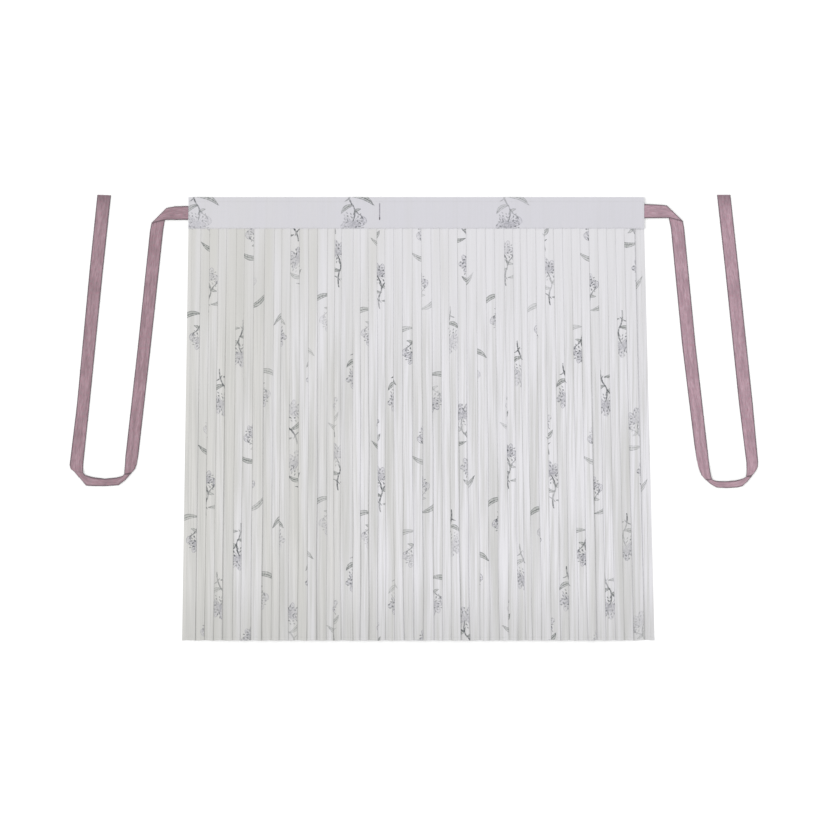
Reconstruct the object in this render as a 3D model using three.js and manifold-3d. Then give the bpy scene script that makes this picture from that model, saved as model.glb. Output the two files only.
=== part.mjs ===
// Pleated wrap skirt, laid out flat: a wide knife-pleated panel, a folded waistband and two long tape ties.
// Millimetres, +Z up. X runs along the waist, Y from the hem up to the waistband, Z up from the table.
// The origin is on the table, at the middle of the skirt and its ties.

import * as THREE from "three";
import { mergeVertices } from "three/addons/utils/BufferGeometryUtils.js";
import Module from "manifold-3d";

const wasm = await Module();
wasm.setup();

// Driving dimensions
const skirtLength = 900; // hem to the fold along the top of the waistband
const hemY = -452.5;
const hemLeft = -470.5;
const hemWidth = 959;
const waistLeft = -457.5;
const waistWidth = 925;
const bandHeight = 64;
const bandFoldThickness = 2.6; // two layers of cloth with interfacing, at the top fold
const bandLipThickness = 1.2;
const seamTuck = 8; // how far the pleat tops run up under the band
const slitX = -69.5; // bound slit in the band, which one tie is drawn through when the skirt is worn
const slitFootY = 402.5;
const slitLength = 32;
const slitWidth = 1.6;
const seamGap = 0.3;

// Cloth, and the pleats that it is pressed into
const clothWall = 1;
const layerStep = 1.2; // from one layer of cloth to the next, with the air between them
const leftMargin = 26.5; // unpleated strip along the left side hem
const rightMargin = 20.5;
const pleatCount = 49; // pleats between the two margins
const underlap = 1.22; // how far each pleat runs back under, in pleat widths
const noseRadius = 0.6; // of a pressed fold's outer edge
const wanderDepth = 1.4; // sideways drift of the folds half way down

// Ties
const tapeWall = 1.2;
const tapeGap = 0.3; // air between two layers of tape
const creaseInset = 1.1; // inside of a turned crease, back from its edge

const bandTop = hemY + skirtLength;
const bandFoot = bandTop - bandHeight;
const panelTop = bandFoot + seamTuck;
const settle = underlap - 1; // flat share of a pleat on each side of its rise
const foldCount = pleatCount + 1;
const evenPleat = (hemWidth - leftMargin - rightMargin) / pleatCount;

const printedCloth = new THREE.Color(0xdadada);
const dustyTape = new THREE.Color(0xa78f98);

// Pleats that were pressed narrower or wider than the rest, counted from the left margin, which is pleat 0.
// "wider" is the difference in width and "lift" the height that the fold stands proud at the hem.
const unevenPleats = [
  { pleat: 0, wider: 0, lift: 0.5 },
  { pleat: 3, wider: -1.5, lift: 0.6 },
  { pleat: 4, wider: 2.2, lift: 0 },
  { pleat: 5, wider: -2.3, lift: 0 },
  { pleat: 6, wider: 1.8, lift: 0.3 },
  { pleat: 7, wider: 3.8, lift: 0.8 },
  { pleat: 8, wider: 1.8, lift: 0 },
  { pleat: 9, wider: -2.9, lift: 0.2 },
  { pleat: 13, wider: 0, lift: 0.9 },
  { pleat: 14, wider: 2.8, lift: 0 },
  { pleat: 15, wider: -3.3, lift: 0.7 },
  { pleat: 16, wider: -4.3, lift: 0 },
  { pleat: 17, wider: 5.8, lift: 0.9 },
  { pleat: 18, wider: -4.3, lift: 0.7 },
  { pleat: 19, wider: -2.3, lift: 0.8 },
  { pleat: 21, wider: -1.7, lift: 0 },
  { pleat: 24, wider: 1.8, lift: 0.2 },
  { pleat: 26, wider: 1.8, lift: 0 },
  { pleat: 29, wider: 0, lift: 0.7 },
  { pleat: 31, wider: 2.8, lift: 0 },
  { pleat: 32, wider: 0, lift: 0.6 },
  { pleat: 34, wider: 1.8, lift: 0 },
  { pleat: 36, wider: -3.3, lift: 0.4 },
  { pleat: 37, wider: -4.3, lift: 0 },
  { pleat: 44, wider: 0, lift: 0.8 },
  { pleat: 48, wider: 0, lift: 0.6 },
  { pleat: 49, wider: 3.8, lift: 0 },
];

// Heights at which the panel's section is worked out, from the hem up.
// "up" is a share of the panel's height, "wander" of the sideways drift and "lift" of the folds' lift.
const panelRows = [
  { up: 0, wander: 0.3, lift: 1 },
  { up: 0.48, wander: 1, lift: 0.6 },
  { up: 1, wander: 0, lift: 0 },
];

// Each tie from its root in the band to its free end. "outer" is the edge on the outside of the bend and
// "inner" the edge on its inside. "layers" counts the layers of tape that lie on each other there.
const leftTieCreases = [
  { at: "root", outerX: -457.8, outerY: 429.5, innerX: -457.8, innerY: 401.5, layers: 1 },
  { at: "corner fold", outerX: -501.7, outerY: 425.5, innerX: -532.8, innerY: 394.4, layers: 1 },
  { at: "foot of the inner leg", outerX: -561.6, outerY: -92, innerX: -586.3, innerY: -97, layers: 1 },
  { at: "first crease", outerX: -567, outerY: -105.5, innerX: -587.3, innerY: -108, layers: 1 },
  { at: "second crease", outerX: -574, outerY: -112.5, innerX: -587.9, innerY: -115.5, layers: 2 },
  { at: "turn into the run", outerX: -586.6, outerY: -127.2, innerX: -590.5, innerY: -118.2, layers: 2 },
  { at: "start of the run", outerX: -600, outerY: -137.4, innerX: -603, innerY: -121.4, layers: 2 },
  { at: "middle of the run", outerX: -628, outerY: -138.6, innerX: -628, innerY: -124, layers: 2 },
  { at: "end of the run", outerX: -664.5, outerY: -138, innerX: -653.2, innerY: -120.6, layers: 2 },
  { at: "turn out of the run", outerX: -677.5, outerY: -123.5, innerX: -667.5, innerY: -116.5, layers: 2 },
  { at: "third crease", outerX: -690.3, outerY: -108.4, innerX: -671.2, innerY: -113.5, layers: 2 },
  { at: "foot of the outer leg", outerX: -697, outerY: -104, innerX: -671.5, innerY: -104, layers: 1 },
  { at: "outer leg", outerX: -699, outerY: -97, innerX: -671.3, innerY: -96, layers: 1 },
  { at: "free end", outerX: -642.2, outerY: 452.5, innerX: -614.9, innerY: 452.5, layers: 1 },
];
const rightTieCreases = [
  { at: "root", outerX: 467.8, outerY: 433.4, innerX: 467.8, innerY: 404.8, layers: 1 },
  { at: "corner fold", outerX: 512.5, outerY: 430.8, innerX: 546.2, innerY: 398.1, layers: 1 },
  { at: "foot of the inner leg", outerX: 574, outerY: -86.3, innerX: 598.6, innerY: -92.2, layers: 1 },
  { at: "bend of the inner leg", outerX: 580, outerY: -107.2, innerX: 601, innerY: -110, layers: 1 },
  { at: "first crease", outerX: 584, outerY: -116.5, innerX: 602.8, innerY: -119, layers: 1 },
  { at: "second crease", outerX: 592.7, outerY: -125.9, innerX: 605.1, innerY: -125.2, layers: 2 },
  { at: "turn into the run", outerX: 605.5, outerY: -136.4, innerX: 609.5, innerY: -127.5, layers: 2 },
  { at: "start of the run", outerX: 614.5, outerY: -141.6, innerX: 615.5, innerY: -128.8, layers: 2 },
  { at: "middle of the run", outerX: 634, outerY: -142.7, innerX: 634, innerY: -129.3, layers: 2 },
  { at: "end of the run", outerX: 664, outerY: -139.8, innerX: 657, innerY: -127.1, layers: 2 },
  { at: "turn out of the run", outerX: 675, outerY: -131.6, innerX: 667, innerY: -124.4, layers: 2 },
  { at: "third crease", outerX: 688.5, outerY: -113.5, innerX: 674.5, innerY: -120.5, layers: 2 },
  { at: "foot of the outer leg", outerX: 696.4, outerY: -105, innerX: 675.5, innerY: -108, layers: 1 },
  { at: "outer leg", outerX: 699, outerY: -96, innerX: 675.3, innerY: -97, layers: 1 },
  { at: "free end", outerX: 642.6, outerY: 452.5, innerX: 615.6, innerY: 452.5, layers: 1 },
];

// Closed solid of a wall whose two faces are given as the same grid of points, station by station.
// The stations run to +X and the rows to +Y where the first face looks up.
function wallSolid(firstFace, secondFace) {
  const stations = firstFace.length;
  const rows = firstFace[0].length;
  const positions = [];
  const sameSpot = 1e-4;

  function triangle(a, b, c) {
    const collapsed = [[a, b], [b, c], [c, a]].some(([p, q]) => p.distanceTo(q) < sameSpot);
    if (!collapsed) positions.push(...a.toArray(), ...b.toArray(), ...c.toArray());
  }
  function quad(a, b, c, d) {
    triangle(a, b, c);
    triangle(a, c, d);
  }

  for (let k = 0; k + 1 < stations; k += 1) {
    for (let j = 0; j + 1 < rows; j += 1) {
      quad(firstFace[k][j], firstFace[k + 1][j], firstFace[k + 1][j + 1], firstFace[k][j + 1]);
      quad(secondFace[k][j], secondFace[k][j + 1], secondFace[k + 1][j + 1], secondFace[k + 1][j]);
    }
    const end = rows - 1;
    quad(firstFace[k][0], secondFace[k][0], secondFace[k + 1][0], firstFace[k + 1][0]);
    quad(firstFace[k][end], firstFace[k + 1][end], secondFace[k + 1][end], secondFace[k][end]);
  }
  const last = stations - 1;
  for (let j = 0; j + 1 < rows; j += 1) {
    quad(firstFace[0][j], firstFace[0][j + 1], secondFace[0][j + 1], secondFace[0][j]);
    quad(firstFace[last][j], secondFace[last][j], secondFace[last][j + 1], firstFace[last][j + 1]);
  }

  const geometry = new THREE.BufferGeometry();
  geometry.setAttribute("position", new THREE.Float32BufferAttribute(positions, 3));
  geometry.computeVertexNormals();
  return geometry;
}

function clothMesh(name, geometry, color) {
  const material = new THREE.MeshStandardMaterial({ color, roughness: 0.85, metalness: 0 });
  const mesh = new THREE.Mesh(geometry, material);
  mesh.name = name;
  return mesh;
}

function unevenness(pleat, column) {
  const row = unevenPleats.find((entry) => entry.pleat === pleat);
  return row ? row[column] : 0;
}

// Distance of each fold from the left side hem, measured along the hem. Fold 1 closes the left margin.
function foldPlaces() {
  const places = [leftMargin - evenPleat, leftMargin];
  for (let pleat = 1; pleat <= pleatCount; pleat += 1) {
    places.push(places[pleat] + evenPleat + unevenness(pleat, "wider"));
  }
  places.push(hemWidth);
  return places;
}

const places = foldPlaces();
const leftPhase = 1 - leftMargin / evenPleat;

// X of a spot given in pleats from the left, at one of the panel's rows.
function acrossAt(phase, row) {
  const whole = Math.min(Math.max(Math.floor(phase), 0), foldCount);
  const along = places[whole] + (phase - whole) * (places[whole + 1] - places[whole]);
  const left = THREE.MathUtils.lerp(hemLeft, waistLeft, row.up);
  const width = THREE.MathUtils.lerp(hemWidth, waistWidth, row.up);
  const held = Math.sin((Math.PI * along) / hemWidth);
  const drift = wanderDepth * row.wander * held * Math.sin(0.9 * phase + 2.1);
  return left + (along / hemWidth) * width + drift;
}

// Number of cloth layers below a pleat's face, where "run" is the distance from its hidden fold in pleats.
function layersBelow(pleat, run) {
  const rise = (start) => 2 * THREE.MathUtils.clamp((run - start - settle) / (1 - settle), 0, 1);
  return Math.min(rise(0) + rise(1), 2 * (foldCount - pleat));
}

function liftAt(pleat, run, row) {
  const share = THREE.MathUtils.clamp((run - underlap) / (2 - underlap), 0, 1);
  return unevenness(pleat, "lift") * row.lift * share;
}

// One layer of the wall: "face" is the layer's height over the table for the pleat's visible side, and
// "back" that of the part that returns under it.
function faceHeight(pleat, run, row) {
  return layersBelow(pleat, run) * layerStep + liftAt(pleat, run, row);
}

function backHeight(pleat, run, row) {
  return (layersBelow(pleat, run) - 1) * layerStep + liftAt(pleat, run, row) / 2;
}

// A station is a function that gives the wall's two points on a row: the cloth's right side and wrong side.
function station(phase, rightInset, rightHeight, wrongInset, wrongHeight) {
  return (row) => {
    const x = acrossAt(phase, row);
    return [
      { x: x + rightInset, z: rightHeight(row) },
      { x: x + wrongInset, z: wrongHeight(row) },
    ];
  };
}

function faceStation(pleat, run) {
  const under = (row) => faceHeight(pleat, run, row);
  const over = (row) => under(row) + clothWall;
  return station(pleat - underlap + run, 0, over, 0, under);
}

function backStation(pleat, run) {
  const under = (row) => backHeight(pleat, run, row);
  const over = (row) => under(row) + clothWall;
  return station(pleat - underlap + run, 0, under, 0, over);
}

// The pressed fold at a pleat's free side, round which the cloth turns under.
function freeFold(pleat) {
  const run = 1 + underlap;
  const inside = (row) => faceHeight(pleat, run, row);
  const top = (row) => inside(row) + clothWall;
  const bottom = (row) => backHeight(pleat, run, row);
  const insideBack = (row) => bottom(row) + clothWall;
  const at = pleat + 1;
  return [
    station(at, -noseRadius, top, -clothWall, inside),
    station(at, 0, (row) => top(row) - noseRadius, -clothWall, inside),
    station(at, 0, (row) => bottom(row) + noseRadius, -clothWall, insideBack),
    station(at, -noseRadius, bottom, -clothWall, insideBack),
  ];
}

// The hidden fold, where a pleat's return meets the start of the next pleat on the table.
function hiddenFold(pleat) {
  const at = pleat + 1 - underlap;
  const backUnder = (row) => backHeight(pleat, 1, row);
  const backOver = (row) => backUnder(row) + clothWall;
  const nextUnder = (row) => faceHeight(pleat + 1, 0, row);
  const nextOver = (row) => nextUnder(row) + clothWall;
  return [
    station(at, clothWall, backUnder, 0, backOver),
    station(at, clothWall, nextOver, 0, nextUnder),
  ];
}

// The left margin starts on the table at its side hem and climbs over the first hidden fold.
function leftMarginStart() {
  const floor = () => 0;
  const onFloor = () => clothWall;
  const overFold = () => 2 * layerStep;
  const overFoldTop = () => 2 * layerStep + clothWall;
  const firstHiddenFold = 1 - underlap;
  const climb = firstHiddenFold - 0.05;
  return [
    station(leftPhase, 0, onFloor, 0, floor),
    station(leftPhase + 0.05, 0, onFloor, 0, floor),
    station(climb, 0, overFoldTop, 0, overFold),
  ];
}

function pleatStations(pleat) {
  const restOfFace = pleat === 0 ? [1 + settle, 2] : [settle, 1, 1 + settle, 2];
  return [
    ...restOfFace.map((run) => faceStation(pleat, run)),
    ...freeFold(pleat),
    ...[2, 1 + settle].map((run) => backStation(pleat, run)),
    ...hiddenFold(pleat),
  ];
}

function rightMarginStations() {
  const runs = [settle, 1, 2, 1 + underlap];
  return runs.map((run) => faceStation(foldCount, run));
}

function pleatedPanel() {
  const stations = leftMarginStart();
  for (let pleat = 0; pleat < foldCount; pleat += 1) stations.push(...pleatStations(pleat));
  stations.push(...rightMarginStations());

  const faces = [0, 1].map((side) =>
    stations.map((pointsOn) =>
      panelRows.map((row) => {
        const point = pointsOn(row)[side];
        const y = THREE.MathUtils.lerp(hemY, panelTop, row.up);
        return new THREE.Vector3(point.x, y, point.z);
      })
    )
  );
  return clothMesh("pleated_panel", wallSolid(faces[0], faces[1]), printedCloth);
}

// The band is folded over at the top and pressed flat. Its front comes down over the tops of the pleats,
// so its section is a long wedge with a thin lip.
function bandSection() {
  const pleatTops = 4 * layerStep + clothWall;
  const lipUnder = pleatTops + seamGap;
  const lipOver = lipUnder + bandLipThickness;
  const foldRadius = bandFoldThickness / 2;
  const innerFoot = panelTop + seamGap;
  const lipRound = 0.5;

  const section = new THREE.Shape();
  section.moveTo(innerFoot, 0);
  section.lineTo(bandTop - foldRadius, 0);
  section.absarc(bandTop - foldRadius, foldRadius, foldRadius, -Math.PI / 2, Math.PI / 2, false);
  section.lineTo(bandFoot + bandHeight * 0.55, bandFoldThickness + 2.4);
  section.lineTo(bandFoot + 3 * lipRound, lipOver);
  section.lineTo(bandFoot, lipOver - lipRound);
  section.lineTo(bandFoot, lipUnder);
  section.lineTo(innerFoot, lipUnder);
  section.closePath();
  return section;
}

function solidOf(geometry) {
  const bare = geometry.clone();
  bare.deleteAttribute("normal");
  bare.deleteAttribute("uv");
  const merged = mergeVertices(bare, 1e-4);
  const mesh = new wasm.Mesh({
    numProp: 3,
    vertProperties: new Float32Array(merged.attributes.position.array),
    triVerts: new Uint32Array(merged.index.array),
  });
  return new wasm.Manifold(mesh);
}

function geometryOf(solid) {
  const mesh = solid.getMesh();
  const geometry = new THREE.BufferGeometry();
  geometry.setAttribute("position", new THREE.BufferAttribute(mesh.vertProperties, 3));
  geometry.setIndex(new THREE.BufferAttribute(mesh.triVerts, 1));
  return geometry;
}

function tieSlit() {
  const past = 20; // runs past both faces of the band
  const cutter = new THREE.BoxGeometry(slitWidth, slitLength, past);
  cutter.translate(slitX, slitFootY + slitLength / 2, 0);
  return cutter;
}

function waistband() {
  const geometry = new THREE.ExtrudeGeometry(bandSection(), {
    depth: waistWidth,
    bevelEnabled: false,
    curveSegments: 6,
  });
  const alongX = new THREE.Matrix4().makeBasis(
    new THREE.Vector3(0, 1, 0),
    new THREE.Vector3(0, 0, 1),
    new THREE.Vector3(1, 0, 0)
  );
  geometry.applyMatrix4(alongX);
  geometry.translate(waistLeft, 0, 0);
  const cut = solidOf(geometry).subtract(solidOf(tieSlit()));
  return clothMesh("waistband", geometryOf(cut), printedCloth);
}

// The tape leaves the band one layer up, turns under along its corner fold, and lies on the table after it.
function tieSolid(creases) {
  const [root, corner, ...rest] = creases;
  const stubUnder = tapeWall + tapeGap;
  const stubOver = stubUnder + tapeWall;
  const foldLine = new THREE.Vector2(corner.innerX - corner.outerX, corner.innerY - corner.outerY).normalize();
  const outside = new THREE.Vector2(-foldLine.y, foldLine.x);
  outside.multiplyScalar(Math.sign(outside.y));
  const level = (crease, shift, z) => ({
    outer: new THREE.Vector3(crease.outerX + shift * outside.x, crease.outerY + shift * outside.y, z),
    inner: new THREE.Vector3(crease.innerX + shift * outside.x, crease.innerY + shift * outside.y, z),
  });

  // Pairs of the tape's first and second face: the first looks up on the stub and down after the fold.
  const pairs = [
    [level(root, 0, stubOver), level(root, 0, stubUnder)],
    [level(corner, -noseRadius, stubOver), level(corner, -creaseInset, stubUnder)],
    [level(corner, 0, stubOver - noseRadius), level(corner, -creaseInset, stubUnder)],
    [level(corner, 0, noseRadius), level(corner, -creaseInset, tapeWall)],
    [level(corner, -noseRadius, 0), level(corner, -creaseInset, tapeWall)],
  ];
  for (const crease of rest) {
    const over = crease.layers * tapeWall + (crease.layers - 1) * tapeGap;
    pairs.push([level(crease, 0, 0), level(crease, 0, over)]);
  }
  return pairs;
}

function tie(name, creases, rowOrder) {
  const pairs = tieSolid(creases);
  const faces = [0, 1].map((side) => pairs.map((pair) => rowOrder.map((edge) => pair[side][edge])));
  return clothMesh(name, wallSolid(faces[0], faces[1]), dustyTape);
}

const skirt = new THREE.Group();
skirt.add(pleatedPanel());
skirt.add(waistband());
skirt.add(tie("tie_left", leftTieCreases, ["outer", "inner"]));
skirt.add(tie("tie_right", rightTieCreases, ["inner", "outer"]));

export default skirt;
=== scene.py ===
import math

import bpy
import numpy
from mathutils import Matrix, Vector


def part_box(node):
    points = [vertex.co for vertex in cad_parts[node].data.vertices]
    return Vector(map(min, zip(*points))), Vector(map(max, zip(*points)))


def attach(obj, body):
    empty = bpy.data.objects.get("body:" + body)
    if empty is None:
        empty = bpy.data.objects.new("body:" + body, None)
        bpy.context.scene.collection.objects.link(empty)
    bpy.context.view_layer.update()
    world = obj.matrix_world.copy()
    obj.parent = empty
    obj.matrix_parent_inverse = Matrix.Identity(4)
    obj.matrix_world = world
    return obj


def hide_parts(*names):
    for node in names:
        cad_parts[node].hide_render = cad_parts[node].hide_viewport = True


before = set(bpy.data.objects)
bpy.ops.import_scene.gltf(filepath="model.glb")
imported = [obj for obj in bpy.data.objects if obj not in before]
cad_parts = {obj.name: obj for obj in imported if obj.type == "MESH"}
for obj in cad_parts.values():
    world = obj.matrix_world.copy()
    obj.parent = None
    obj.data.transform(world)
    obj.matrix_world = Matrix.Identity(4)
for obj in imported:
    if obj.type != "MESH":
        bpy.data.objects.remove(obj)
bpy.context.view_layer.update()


# The view
# The skirt lies on a pale table and is looked at from straight above, squarely over it.
# The lens takes in both ties with a margin of table all round.
picture_width = 1.665
view_centre = Vector((-0.0078, 0.0154))
camera_height = 4.2
sensor_width = 36.0

bpy.ops.object.select_all(action="DESELECT")
bpy.ops.object.camera_add(location=(view_centre.x, view_centre.y, camera_height))
overhead_camera = bpy.context.object
overhead_camera.name = "overhead_camera"
overhead_camera.data.sensor_width = sensor_width
overhead_camera.data.lens = sensor_width * camera_height / picture_width
bpy.context.scene.camera = overhead_camera


# Pleated panel
# One width of light printed cotton, over three metres round, pressed into forty-nine narrow knife pleats.
# Every pleat turns to the same side and laps over the next. The cloth is hemmed at the foot and down both
# sides, and its top is gathered into the band with each pleat held flat.
panel_low, panel_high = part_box("pleated_panel")
band_low, band_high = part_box("waistband")
hem_width = panel_high.x - panel_low.x
waist_width = band_high.x - band_low.x
panel_length = panel_high.y - panel_low.y

pleat_count = 49
fold_count = pleat_count + 1
left_margin = 0.0265
right_margin = 0.0205
underlap = 1.22
settle = underlap - 1
cloth_thickness = 0.0002
hem_thickness = 0.0005
hem_depth = 0.007
fold_sharpness = 0.0004
pile_top = 0.0049
pile_end_top = 0.0019
pile_end_pleats = 6.0
sag_depth = 0.00028
usual_fullness = 0.65
fullness_swing = 0.35
fullness_turn = 2.3
least_sag = 0.15
crease_place = 0.42
crease_spread = 0.13
least_crease = 0.12
wander_depth = 0.0019
wander_turn = 0.9
wander_start = 2.1
ripple_depth = 0.0009
ripples_up = 17.0
ripple_turn = 1.9
hem_drop = 0.0006
hem_drop_turn = 3.8
hem_drop_reach = 0.05
fold_lead = 0.05
margin_lead = 0.02
even_pleat = (hem_width - left_margin - right_margin) / pleat_count
left_phase = 1 - left_margin / even_pleat

# Pleats that differ from the rest, counted from the left margin. In millimetres: how much wider the pleat
# is pressed, how proud its fold stands at the hem, and how deep a soft second crease runs down its face.
uneven_columns = ("pleat", "wider", "lift", "crease")
uneven_pleats = [
    (0, 0.0, 0.5, 0.3),
    (1, 0.0, 0.2, 0.0),
    (2, 0.0, 0.0, 0.5),
    (3, -1.5, 1.0, 0.0),
    (4, 2.2, 0.0, 0.5),
    (5, -2.3, 0.0, 0.3),
    (6, 1.8, 0.3, 0.0),
    (7, 3.8, 0.7, 0.7),
    (8, 1.8, 0.0, 0.4),
    (9, -2.9, 0.3, 0.0),
    (11, 0.0, 0.0, 0.6),
    (12, 0.0, 0.1, 0.0),
    (13, 0.0, 1.3, 0.0),
    (14, 2.8, 0.0, 0.5),
    (15, -3.3, 0.2, 0.0),
    (16, -4.3, 0.0, 0.0),
    (17, 5.8, 0.0, 0.8),
    (18, -4.3, 0.6, 0.0),
    (19, -2.3, 0.7, 0.0),
    (20, 0.0, 0.2, 0.3),
    (21, -1.7, 0.0, 0.0),
    (23, 0.0, 0.4, 0.5),
    (24, 1.8, 0.3, 0.0),
    (25, 0.0, 0.4, 0.3),
    (26, 1.8, 0.4, 0.3),
    (28, 0.0, 0.0, 0.5),
    (29, 0.0, 1.0, 0.0),
    (30, 0.0, 0.6, 0.0),
    (31, 2.8, 0.0, 0.6),
    (32, 0.0, 0.2, 0.0),
    (34, 1.8, 0.0, 0.4),
    (36, -3.3, 0.0, 0.3),
    (37, -4.3, 0.0, 0.0),
    (39, 0.0, 0.0, 0.4),
    (40, 0.0, 0.2, 0.0),
    (41, 0.0, 0.0, 0.5),
    (43, 0.0, 0.2, 0.0),
    (44, 0.0, 1.1, 0.0),
    (46, 0.0, 0.1, 0.4),
    (47, 0.0, 0.0, 0.3),
    (48, 0.0, 0.6, 0.0),
    (49, 3.8, 0.0, 0.4),
]
unevenness = {row[0]: dict(zip(uneven_columns, row)) for row in uneven_pleats}


def uneven(pleat, column):
    """How much a pleat differs from the rest, in metres."""
    return unevenness.get(pleat, {}).get(column, 0.0) / 1000


fold_places = [left_margin - even_pleat, left_margin]
for pleat in range(1, fold_count):
    fold_places.append(fold_places[-1] + even_pleat + uneven(pleat, "wider"))
fold_places.append(hem_width)

first_body_row = 0.026
body_row_count = 40
hem_rows = numpy.array([0.0, 0.0032, 0.0066, 0.0084])
body_rows = numpy.linspace(first_body_row, panel_length, body_row_count)
row_heights = numpy.concatenate([hem_rows, body_rows])
up = row_heights / panel_length
row_thickness = numpy.where(row_heights < hem_depth, hem_thickness, cloth_thickness)

# How each row of the panel differs, from the hem at 0 to the band at 1. In millimetres: how far a pleat's
# fold stands over the next pleat. As shares: how loosely the pleats lie, and how far the folds wander.
row_columns = ("up", "step", "looseness", "wander")
panel_row_table = [
    (0.0, 1.05, 1.0, 0.3),
    (0.01, 0.92, 1.0, 0.35),
    (0.04, 0.7, 0.95, 0.45),
    (0.25, 0.62, 0.85, 0.75),
    (0.48, 0.55, 0.65, 1.0),
    (0.75, 0.45, 0.3, 0.6),
    (1.0, 0.42, 0.0, 0.0),
]


def along_rows(column):
    """A column of the table, read off at every row of the cloth."""
    place = row_columns.index(column)
    heights = [row[0] for row in panel_row_table]
    return numpy.interp(up, heights, [row[place] for row in panel_row_table])


fold_step = along_rows("step") / 1000
looseness = along_rows("looseness")
wander = along_rows("wander")


def across(phase):
    """X of a spot given in pleats from the left, on every row."""
    whole = min(max(math.floor(phase), 0), fold_count)
    along = fold_places[whole] + (phase - whole) * (fold_places[whole + 1] - fold_places[whole])
    left = panel_low.x + (band_low.x - panel_low.x) * up
    width = hem_width + (waist_width - hem_width) * up
    held = math.sin(math.pi * along / hem_width)
    drift = wander_depth * wander * math.sin(wander_turn * phase + wander_start)
    ripple = ripple_depth * looseness * numpy.sin(ripples_up * up + ripple_turn * phase)
    return left + along / hem_width * width + held * (drift + ripple)


def fullness_of_pile(phase):
    """0 at the panel's two side edges, where the layers lie flat, and 1 where they are piled highest."""
    share = min(phase - left_phase, fold_count + 1 - phase) / pile_end_pleats
    share = min(max(share, 0), 1)
    return share * share * (3 - 2 * share)


def top_of_pile(phase):
    return pile_end_top + (pile_top - pile_end_top) * fullness_of_pile(phase)


def height_of_layer(layers, phase):
    """Height of the cloth over the table. The layers under it are loose, and the top ones lie close."""
    top = top_of_pile(phase)
    if layers <= 2:
        return (top - fold_step) * layers / 2
    return top - fold_step * (4 - layers) / 2


def layers_below(pleat, run):
    """Layers of cloth under a pleat's face, at a run counted in pleats from its hidden fold."""
    first = min(max((run - settle) / (1 - settle), 0), 1)
    second = min(max((run - 1 - settle) / (1 - settle), 0), 1)
    return min(2 * (first + second), 2 * (fold_count - pleat))


def face_height(pleat, run):
    phase = pleat - underlap + run
    share = run - underlap
    shown = min(max(share / (2 - underlap), 0), 1)
    height = height_of_layer(layers_below(pleat, run), phase) + uneven(pleat, "lift") * looseness * shown
    fullness = usual_fullness + fullness_swing * math.sin(fullness_turn * pleat)
    sag = sag_depth * fullness * (least_sag + (1 - least_sag) * looseness) * math.sin(math.pi * shown)
    trough = uneven(pleat, "crease") * (least_crease + (1 - least_crease) * looseness)
    trough = trough * math.exp(-((share - crease_place) / crease_spread) ** 2)
    return height - (sag + trough) * fullness_of_pile(phase)


def back_height(pleat, run):
    phase = pleat - underlap + run
    shown = min(max((run - underlap) / (2 - underlap), 0), 1)
    lift = uneven(pleat, "lift") * looseness * shown
    return height_of_layer(layers_below(pleat, run) - 1, phase) + lift / 2


column_x, column_z, column_drop = [], [], []


def lay_column(phase, inset, height):
    column_x.append(across(phase) + inset)
    column_z.append(height + row_thickness / 2)
    column_drop.append(hem_drop * math.sin(hem_drop_turn * phase))


def fold_over(phase, upper, lower, facing, angles):
    """The cloth turning back on itself round a pressed edge."""
    middle, reach = (upper + lower) / 2, (upper - lower) / 2
    for angle in angles:
        inset = facing * fold_sharpness * (math.cos(math.radians(angle)) - 1)
        lay_column(phase, inset, middle + reach * math.sin(math.radians(angle)))


hidden_runs = (0.6 * settle, 0.6, 1.0)
shown_runs = (underlap, 1.32, 1.44, 1.58, 1.74, 1.9, 2.04, 2.15)
back_runs = (2.0, underlap)
last_runs = (settle, 0.7, underlap, 1.5, 1.8, 2.1, 1 + underlap)

lay_column(left_phase, 0, 0)
lay_column(left_phase + margin_lead, 0, 0)
lay_column(-settle - fold_lead, 0, height_of_layer(2, -settle))
for pleat in range(fold_count):
    for run in (hidden_runs if pleat else ()) + shown_runs:
        lay_column(pleat - underlap + run, 0, face_height(pleat, run))
    fold_run = 1 + underlap
    face_edge, back_edge = face_height(pleat, fold_run), back_height(pleat, fold_run)
    fold_over(pleat + 1, face_edge, back_edge, 1, (90, 45, 0, -45, -90))
    for run in back_runs:
        lay_column(pleat - underlap + run, 0, back_height(pleat, run))
    hidden_fold = pleat + 1 - underlap
    fold_over(hidden_fold, back_height(pleat, 1), face_height(pleat + 1, 0), -1, (90, 0, -90))
for run in last_runs:
    lay_column(fold_count - underlap + run, 0, face_height(fold_count, run))

cloth_x = numpy.array(column_x)
cloth_z = numpy.array(column_z)
near_hem = numpy.interp(row_heights, [0.0, hem_drop_reach], [1.0, 0.0])
cloth_y = panel_low.y + row_heights + numpy.outer(column_drop, near_hem) + hem_drop * near_hem
measured_row = len(hem_rows)
steps = numpy.hypot(numpy.diff(cloth_x[:, measured_row]), numpy.diff(cloth_z[:, measured_row]))
cloth_along = numpy.concatenate([[0.0], numpy.cumsum(steps)])
cloth_width = float(cloth_along[-1])


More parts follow.
